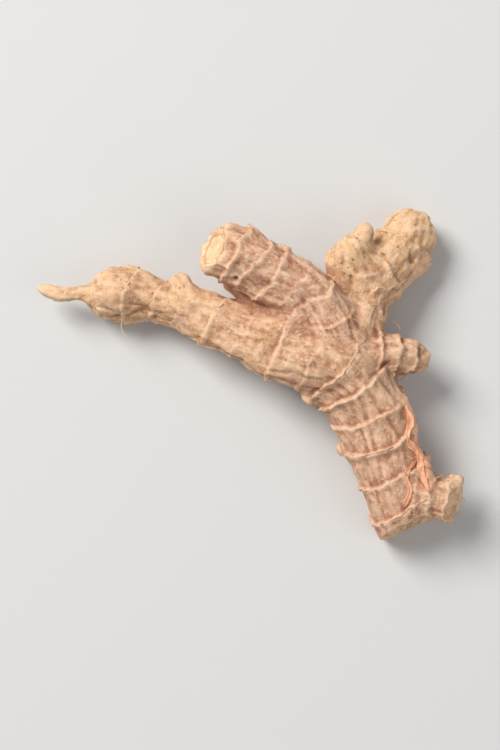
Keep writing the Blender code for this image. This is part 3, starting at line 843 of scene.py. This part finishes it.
def strand(draw, start, way, length, bend, steps=7):
    """A curved line of points from inside the skin, kept off the floor."""
    turn = unit(np.array([draw.gauss(0, 1) for _ in range(3)]))
    points = [start - way * 2 * SUNK]
    for _ in range(steps):
        points.append(points[-1] + way * length / steps)
        way = unit(way + bend / steps * turn)
        if points[-1][2] < FLOOR_GAP:
            way = unit(way * (1, 1, 0) + (0, 0, 0.3))
            points[-1][2] = FLOOR_GAP
    return np.array(points)


def scar_fibres(crests):
    """Frayed fibres on the scars' crests."""
    draw = random.Random(SEED + 2)
    for limb, index, spots in crests:
        for found in filter(None, spots):
            if draw.random() < FRAYING * limb.strength[index]:
                _, spot, out, ahead = found
                way = unit(out * draw.uniform(0.2, 0.8) + ahead)
                yield strand(draw, spot, way, draw.uniform(*SCAR_FIBRES), bend=1.4), FIBRE_RADIUS


def cut_fibres(limbs, shift):
    """Short fibres that the knife tore up, along the cut ends' rims."""
    draw = random.Random(SEED + 3)
    for limb in limbs:
        for end, way in limb.cuts.items():
            for _ in range(round(5 * limb.radius[end] / MM)):
                turn = draw.uniform(0, 2 * math.pi)
                spoke = limb.side[end] * math.cos(turn) + limb.up[end] * math.sin(turn)
                spoke = unit(spoke - (spoke @ way) * way)
                start = limb.centre[end] + spoke * limb.radius[end] * draw.uniform(0.75, 0.93) + shift
                if start[2] > MM:
                    lean = unit(way + spoke * draw.uniform(-0.4, 0.8))
                    start -= 0.5 * MM * way
                    yield strand(draw, start, lean, draw.uniform(*CUT_FIBRES), bend=1.0), FIBRE_RADIUS


def hair_roots(crests):
    """Hair-fine rootlets from the scars on the flanks."""
    draw = random.Random(SEED + 4)
    for _, _, spots in crests:
        flank = [found for found in spots if found and abs(found[2][2]) < 0.45]
        for found in draw.sample(flank, min(len(flank), draw.choice((0, 0, 1, 1)))):
            _, spot, out, ahead = found
            way = unit(out + 0.5 * ahead * draw.uniform(-1, 1))
            yield strand(draw, spot, way, draw.uniform(*HAIR_ROOTS), bend=2.2, steps=12), HAIR_RADIUS


def torn_sheath(root, shift):
    """Orange strands of a torn inner sheath on the trunk's right flank, which fork."""
    main = [(23.8, -6.0), (24.9, -9.0), (24.2, -12.2), (26.4, -15.2), (27.0, -18.4), (28.4, -22.4)]
    fork = [(26.0, -14.6), (28.2, -17.4), (30.4, -18.4)]
    stray = [(25.9, -16.4), (24.0, -19.0), (24.8, -22.0), (23.6, -25.4)]
    yield strip_grid(root, shift, main, 1.5 * MM, 0.3 * MM)
    yield strip_grid(root, shift, fork, 1.1 * MM, 0.25 * MM)
    yield strip_grid(root, shift, stray, 1.0 * MM, 0.2 * MM)


# Materials.

def linear(colour):
    """A colour as a display shows it, 0 to 255, as the linear values that a shader works in."""
    values = [part / 255 for part in colour]
    return (*(v / 12.92 if v <= 0.04045 else ((v + 0.055) / 1.055) ** 2.4 for v in values), 1.0)


class Shading:
    """A material's nodes, with a short call for each kind. A value is a constant or a node's output."""

    def __init__(self, name):
        self.material = bpy.data.materials.new(name)
        self.material.use_nodes = True
        self.tree = self.material.node_tree

    def fill(self, sockets, values):
        for key, value in values.items():
            if hasattr(value, "is_linked"):
                self.tree.links.new(value, sockets[key])
            else:
                sockets[key].default_value = value

    def node(self, kind, output, values, **settings):
        node = self.tree.nodes.new("ShaderNode" + kind)
        for key, setting in settings.items():
            setattr(node, key, setting)
        self.fill(node.inputs, values)
        return node.outputs[output]

    def surface(self, values):
        """Sets the shader's own inputs, and returns the finished material."""
        self.fill(self.tree.nodes["Principled BSDF"].inputs, values)
        return self.material

    def attribute(self, name, output="Fac"):
        return self.node("Attribute", output, {}, attribute_name=name)

    def place(self):
        """Where the surface is, in millimetres."""
        return self.stretch(self.node("TexCoord", "Object", {}), (1 / MM,) * 3)

    def stretch(self, vector, scale):
        return self.node("VectorMath", 0, {0: vector, 1: scale}, operation="MULTIPLY")

    def noise(self, vector, size, detail=4.0, roughness=0.55):
        """Noise from 0 to 1. Its largest patches are about size wide, in vector's units."""
        return self.node("TexNoise", "Fac", {
            "Vector": vector, "Scale": 1 / size, "Detail": detail, "Roughness": roughness})

    def cells(self, vector, size):
        """Distance from the nearest of points that are scattered about size apart."""
        return self.node("TexVoronoi", "Distance", {"Vector": vector, "Scale": 1 / size})

    def spread(self, value, low, high, to_low=0.0, to_high=1.0):
        """value's range from low to high, spread from to_low to to_high and held there."""
        return self.node("MapRange", "Result", {
            "Value": value, "From Min": low, "From Max": high, "To Min": to_low, "To Max": to_high})

    def times(self, first, second):
        return self.node("Math", 0, {0: first, 1: second}, operation="MULTIPLY")

    def mix(self, share, first, second):
        return self.node("Mix", 2, {0: share, 6: first, 7: second}, data_type="RGBA")

    def tint(self, colour, tint, share):
        """colour with a share of tint, which is given as a display shows it."""
        return self.mix(share, colour, linear(tint))

    def bump(self, height, distance, strength=1.0, normal=None):
        below = {} if normal is None else {"Normal": normal}
        return self.node("Bump", "Normal", {
            "Height": height, "Distance": distance, "Strength": strength, **below})


def skin_material():
    """Dried bark with pale scars, brown lengthwise lines, painted shade in its hollows and creases, and
    buff fibrous cut faces.
    """
    look = Shading("dried_skin")
    place = look.place()
    grain = look.attribute("grain", "Vector")
    long_grain = look.stretch(grain, (1.0, 1.0, 0.2))
    half_grain = look.stretch(grain, (1.0, 1.0, 0.4))
    peel = look.spread(look.noise(place, 3.2, 4.0, 0.6), 0.53, 0.58, 0.0, 0.35)
    dots = look.times(look.spread(look.cells(place, 1.3), 0.08, 0.26, 1.0, 0.0),
                      look.spread(look.noise(place, 2.6), 0.45, 0.55))
    dots = look.times(dots, look.spread(look.attribute("pale"), 0.0, 0.8, 0.35, 0.8))

    colour = limb_colour(look, place)
    colour = weathered(look, colour, place, long_grain, half_grain, peel)
    colour = look.tint(colour, DOT_BROWN, dots)
    colour = worn(look, colour, place)
    cut = look.attribute("cut")
    colour = look.mix(cut, colour, cut_colour(look, grain, place))

    flakes = look.times(peel, look.spread(cut, 0.0, 1.0, 1.0, 0.0))
    normal = look.bump(look.noise(long_grain, 0.4, 4.0, 0.6), 0.14 * MM, 0.6)
    normal = look.bump(flakes, 0.2 * MM, 0.8, normal)
    normal = look.bump(look.noise(place, 0.6, 6.0, 0.7), 0.25 * MM, 0.9, normal)
    normal = look.bump(dots, -0.2 * MM, 0.7, normal)
    roughness = look.spread(look.noise(place, 0.9), 0.3, 0.7, 0.62, 0.9)
    return look.surface({
        "Base Color": colour, "Roughness": roughness, "Specular IOR Level": 0.3, "Normal": normal})


def limb_colour(look, place):
    """Tan that drifts over the root, and the tones that each limb has."""
    drift = look.spread(look.noise(place, 6.0, 5.0), 0.38, 0.62)
    colour = look.mix(drift, linear(SKIN_TAN), linear(SKIN_LIGHT))
    blush = look.spread(look.noise(place, 11.0), 0.35, 0.6, 0.45, 1.0)
    colour = look.tint(colour, SKIN_PINK, look.times(look.attribute("pink"), blush))
    paling = look.spread(look.noise(place, 4.0), 0.35, 0.6, 0.5, 1.0)
    colour = look.tint(colour, SKIN_PALE, look.times(look.attribute("pale"), paling))
    return look.tint(colour, SHEATH_ORANGE, look.attribute("orange"))


def weathered(look, colour, place, long_grain, half_grain, peel):
    """Brown lines and mottling along the limbs, stains, and the pale scurf of a dried skin."""
    lines = look.spread(look.noise(long_grain, 0.6, 5.0, 0.65), 0.40, 0.60, 0.15, 0.0)
    colour = look.tint(colour, LINE_AND_SHADE_BROWN, lines)
    mottle = look.spread(look.noise(half_grain, 1.2, 6.0, 0.65), 0.40, 0.56, 0.32, 0.0)
    colour = look.tint(colour, LINE_AND_SHADE_BROWN, mottle)
    stain = look.spread(look.noise(place, 3.6, 6.0, 0.6), 0.53, 0.62, 0.0, 0.4)
    colour = look.tint(colour, STAIN, stain)
    colour = look.tint(colour, SCURF, peel)
    blotch = look.spread(look.noise(half_grain, 1.3, 3.0, 0.5), 0.50, 0.58, 0.0, 0.42)
    colour = look.tint(colour, SCURF, blotch)
    scurf = look.spread(look.noise(place, 0.6, 3.0, 0.6), 0.54, 0.64, 0.0, 0.75)
    return look.tint(colour, SCURF, scurf)


def worn(look, colour, place):
    """Brown painted shade where the skin is sunk, creased or furrowed, and pale wear where it stands out.
    """
    # painted shade in the wrinkles' furrows and the warts' pits
    shaded_hollow = look.times(look.attribute("shaded_hollow"), look.spread(look.noise(place, 2.2), 0.3, 0.7, 0.05, 0.4))
    colour = look.tint(colour, LINE_AND_SHADE_BROWN, shaded_hollow)
    # painted shade in the creases between limbs
    colour = look.tint(colour, PAINTED_SHADE_BROWN, look.spread(look.attribute("crease"), 0.15, 0.8, 0.0, 0.7))
    bend = look.attribute("bend")
    # painted shade in the small hollows, and pale wear on the crests
    colour = look.tint(colour, PAINTED_SHADE_BROWN, look.spread(bend, 0.2, 1.0, 0.0, 0.42))
    colour = look.tint(colour, SCURF, look.spread(bend, -0.1, -0.8, 0.0, 0.45))
    # painted shade over the broad hollows
    colour = look.tint(colour, PAINTED_SHADE_BROWN, look.spread(look.attribute("sink_shade"), 0.1, 1.0, 0.0, 0.65))
    crest = look.times(look.attribute("scar"), look.spread(look.noise(place, 1.2), 0.4, 0.6, 0.25, 1.0))
    return look.tint(colour, SCAR_CREST, crest)


def cut_colour(look, grain, place):
    """A dried cut face: buff flesh dotted with fibre ends, and brown lines."""
    across = look.stretch(grain, (1.0, 1.0, 0.0))
    patches = look.spread(look.noise(place, 2.4, 5.0), 0.35, 0.65)
    colour = look.mix(patches, linear(CUT_BUFF), linear(CUT_DEEP))
    stringy = look.spread(look.noise(place, 0.5, 4.0, 0.7), 0.45, 0.65, 0.0, 0.6)
    colour = look.tint(colour, SCURF, stringy)
    dots = look.times(look.spread(look.cells(across, 0.55), 0.05, 0.35, 0.8, 0.0),
                      look.spread(look.noise(place, 1.1), 0.42, 0.6))
    colour = look.tint(colour, CUT_FIBRE, dots)
    return look.tint(colour, CUT_BARK, look.times(look.attribute("line"), 0.75))


def two_tone(name, first, second, size, roughness, bump=0.0, shine=0.5):
    """A colour that drifts between two tones in patches of the given size."""
    look = Shading(name)
    place = look.place()
    drift = look.spread(look.noise(place, size), 0.35, 0.65)
    colour = look.mix(drift, linear(first), linear(second))
    relief = {"Normal": look.bump(look.noise(place, 0.4), bump)} if bump else {}
    return look.surface({
        "Base Color": colour, "Roughness": roughness, "Specular IOR Level": shine, **relief})


# The stage.

def floor():
    bpy.ops.mesh.primitive_plane_add(size=3.0, location=(0, 0, -0.05 * MM))
    plane = bpy.context.object
    plane.name = "floor"
    matt = Shading("floor").surface({"Base Color": linear(FLOOR_GREY), "Roughness": 0.9})
    plane.data.materials.append(matt)
    plane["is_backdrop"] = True


def area_light(name, place, size, power):
    """A soft square light of the given size, facing the root."""
    data = bpy.data.lights.new(name, "AREA")
    data.size = size
    data.energy = power
    light = add_object(name, data)
    light.location = place
    light.rotation_euler = (-Vector(place)).to_track_quat("-Z", "Y").to_euler()


def studio():
    area_light("key", place=(-0.70, 0.63, 0.96), size=0.60, power=20.5)
    area_light("fill", place=(0.90, -0.50, 1.00), size=1.20, power=4.5)
    world = bpy.data.worlds.new("studio")
    world.use_nodes = True
    sky = world.node_tree.nodes["Background"].inputs
    sky["Color"].default_value = (0.9, 0.93, 1.0, 1.0)
    sky["Strength"].default_value = 0.34
    bpy.context.scene.world = world
    bpy.context.scene.view_settings.view_transform = "Standard"


def camera():
    """Looks straight down, as the photograph looks straight at the root, with its up along +Y."""
    low, high = (np.array(corner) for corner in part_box("galangal_root"))
    middle = (low + high) / 2
    lens, sensor, frame_aspect, filled = 85.0, 36.0, 500 / 750, 0.86
    seen_width = (high[0] - low[0]) / filled
    height = seen_width / frame_aspect * lens / sensor
    data = bpy.data.cameras.new("camera")
    data.lens = lens
    data.sensor_width = sensor
    data.clip_start = 0.01
    view = add_object("camera", data)
    view.location = (middle[0], middle[1], middle[2] + height)
    bpy.context.scene.camera = view


def add_piece(piece):
    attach(piece, "root")


def dress(root, limbs, shift):
    """Fixes the papery fringes, the torn sheath, the fibres and the hair roots to the skin."""
    bpy.context.view_layer.update()
    crests = list(bare_crests(limbs, root, shift))
    paper = two_tone("dry_scale", SKIN_TAN, SCAR_CREST, size=1.8, roughness=0.75, bump=0.08 * MM, shine=0.3)
    add_piece(sheet_piece("scar_fringes", fringe_grids(crests), PAPER, paper))
    sheath = two_tone("torn_sheath", SHEATH_ORANGE, SHEATH_LIGHT, size=1.5, roughness=0.6, bump=0.1 * MM)
    add_piece(sheet_piece("torn_sheath", torn_sheath(root, shift), STRIP, sheath))
    fibres = [*scar_fibres(crests), *cut_fibres(limbs, shift)]
    pale = two_tone("loose_fibre", FIBRE_PALE, SKIN_PALE, size=2.5, roughness=0.7)
    add_piece(strand_piece("loose_fibres", fibres, pale))
    brown = two_tone("hair_root", FIBRE_BROWN, SKIN_PALE, size=2.5, roughness=0.7)
    add_piece(strand_piece("hair_roots", hair_roots(crests), brown))


def corners(bounds):
    return [list(corner) for corner in bounds]


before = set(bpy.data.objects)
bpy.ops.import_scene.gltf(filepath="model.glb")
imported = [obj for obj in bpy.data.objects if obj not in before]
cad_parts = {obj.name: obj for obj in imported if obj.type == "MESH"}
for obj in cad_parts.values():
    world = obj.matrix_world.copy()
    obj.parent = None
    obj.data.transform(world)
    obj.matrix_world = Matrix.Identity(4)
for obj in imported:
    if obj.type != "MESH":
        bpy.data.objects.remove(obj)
cad_box = corners(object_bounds())
camera()
studio()
floor()
grown = [main_axis()] + stubs()
arms = grown + rootlets(grown)
root, shift = fine_root(arms, warts(grown))
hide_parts("galangal_root")
add_piece(root)
dress(root, arms, shift)
{"cad": cad_box, "visual": corners(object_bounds())}
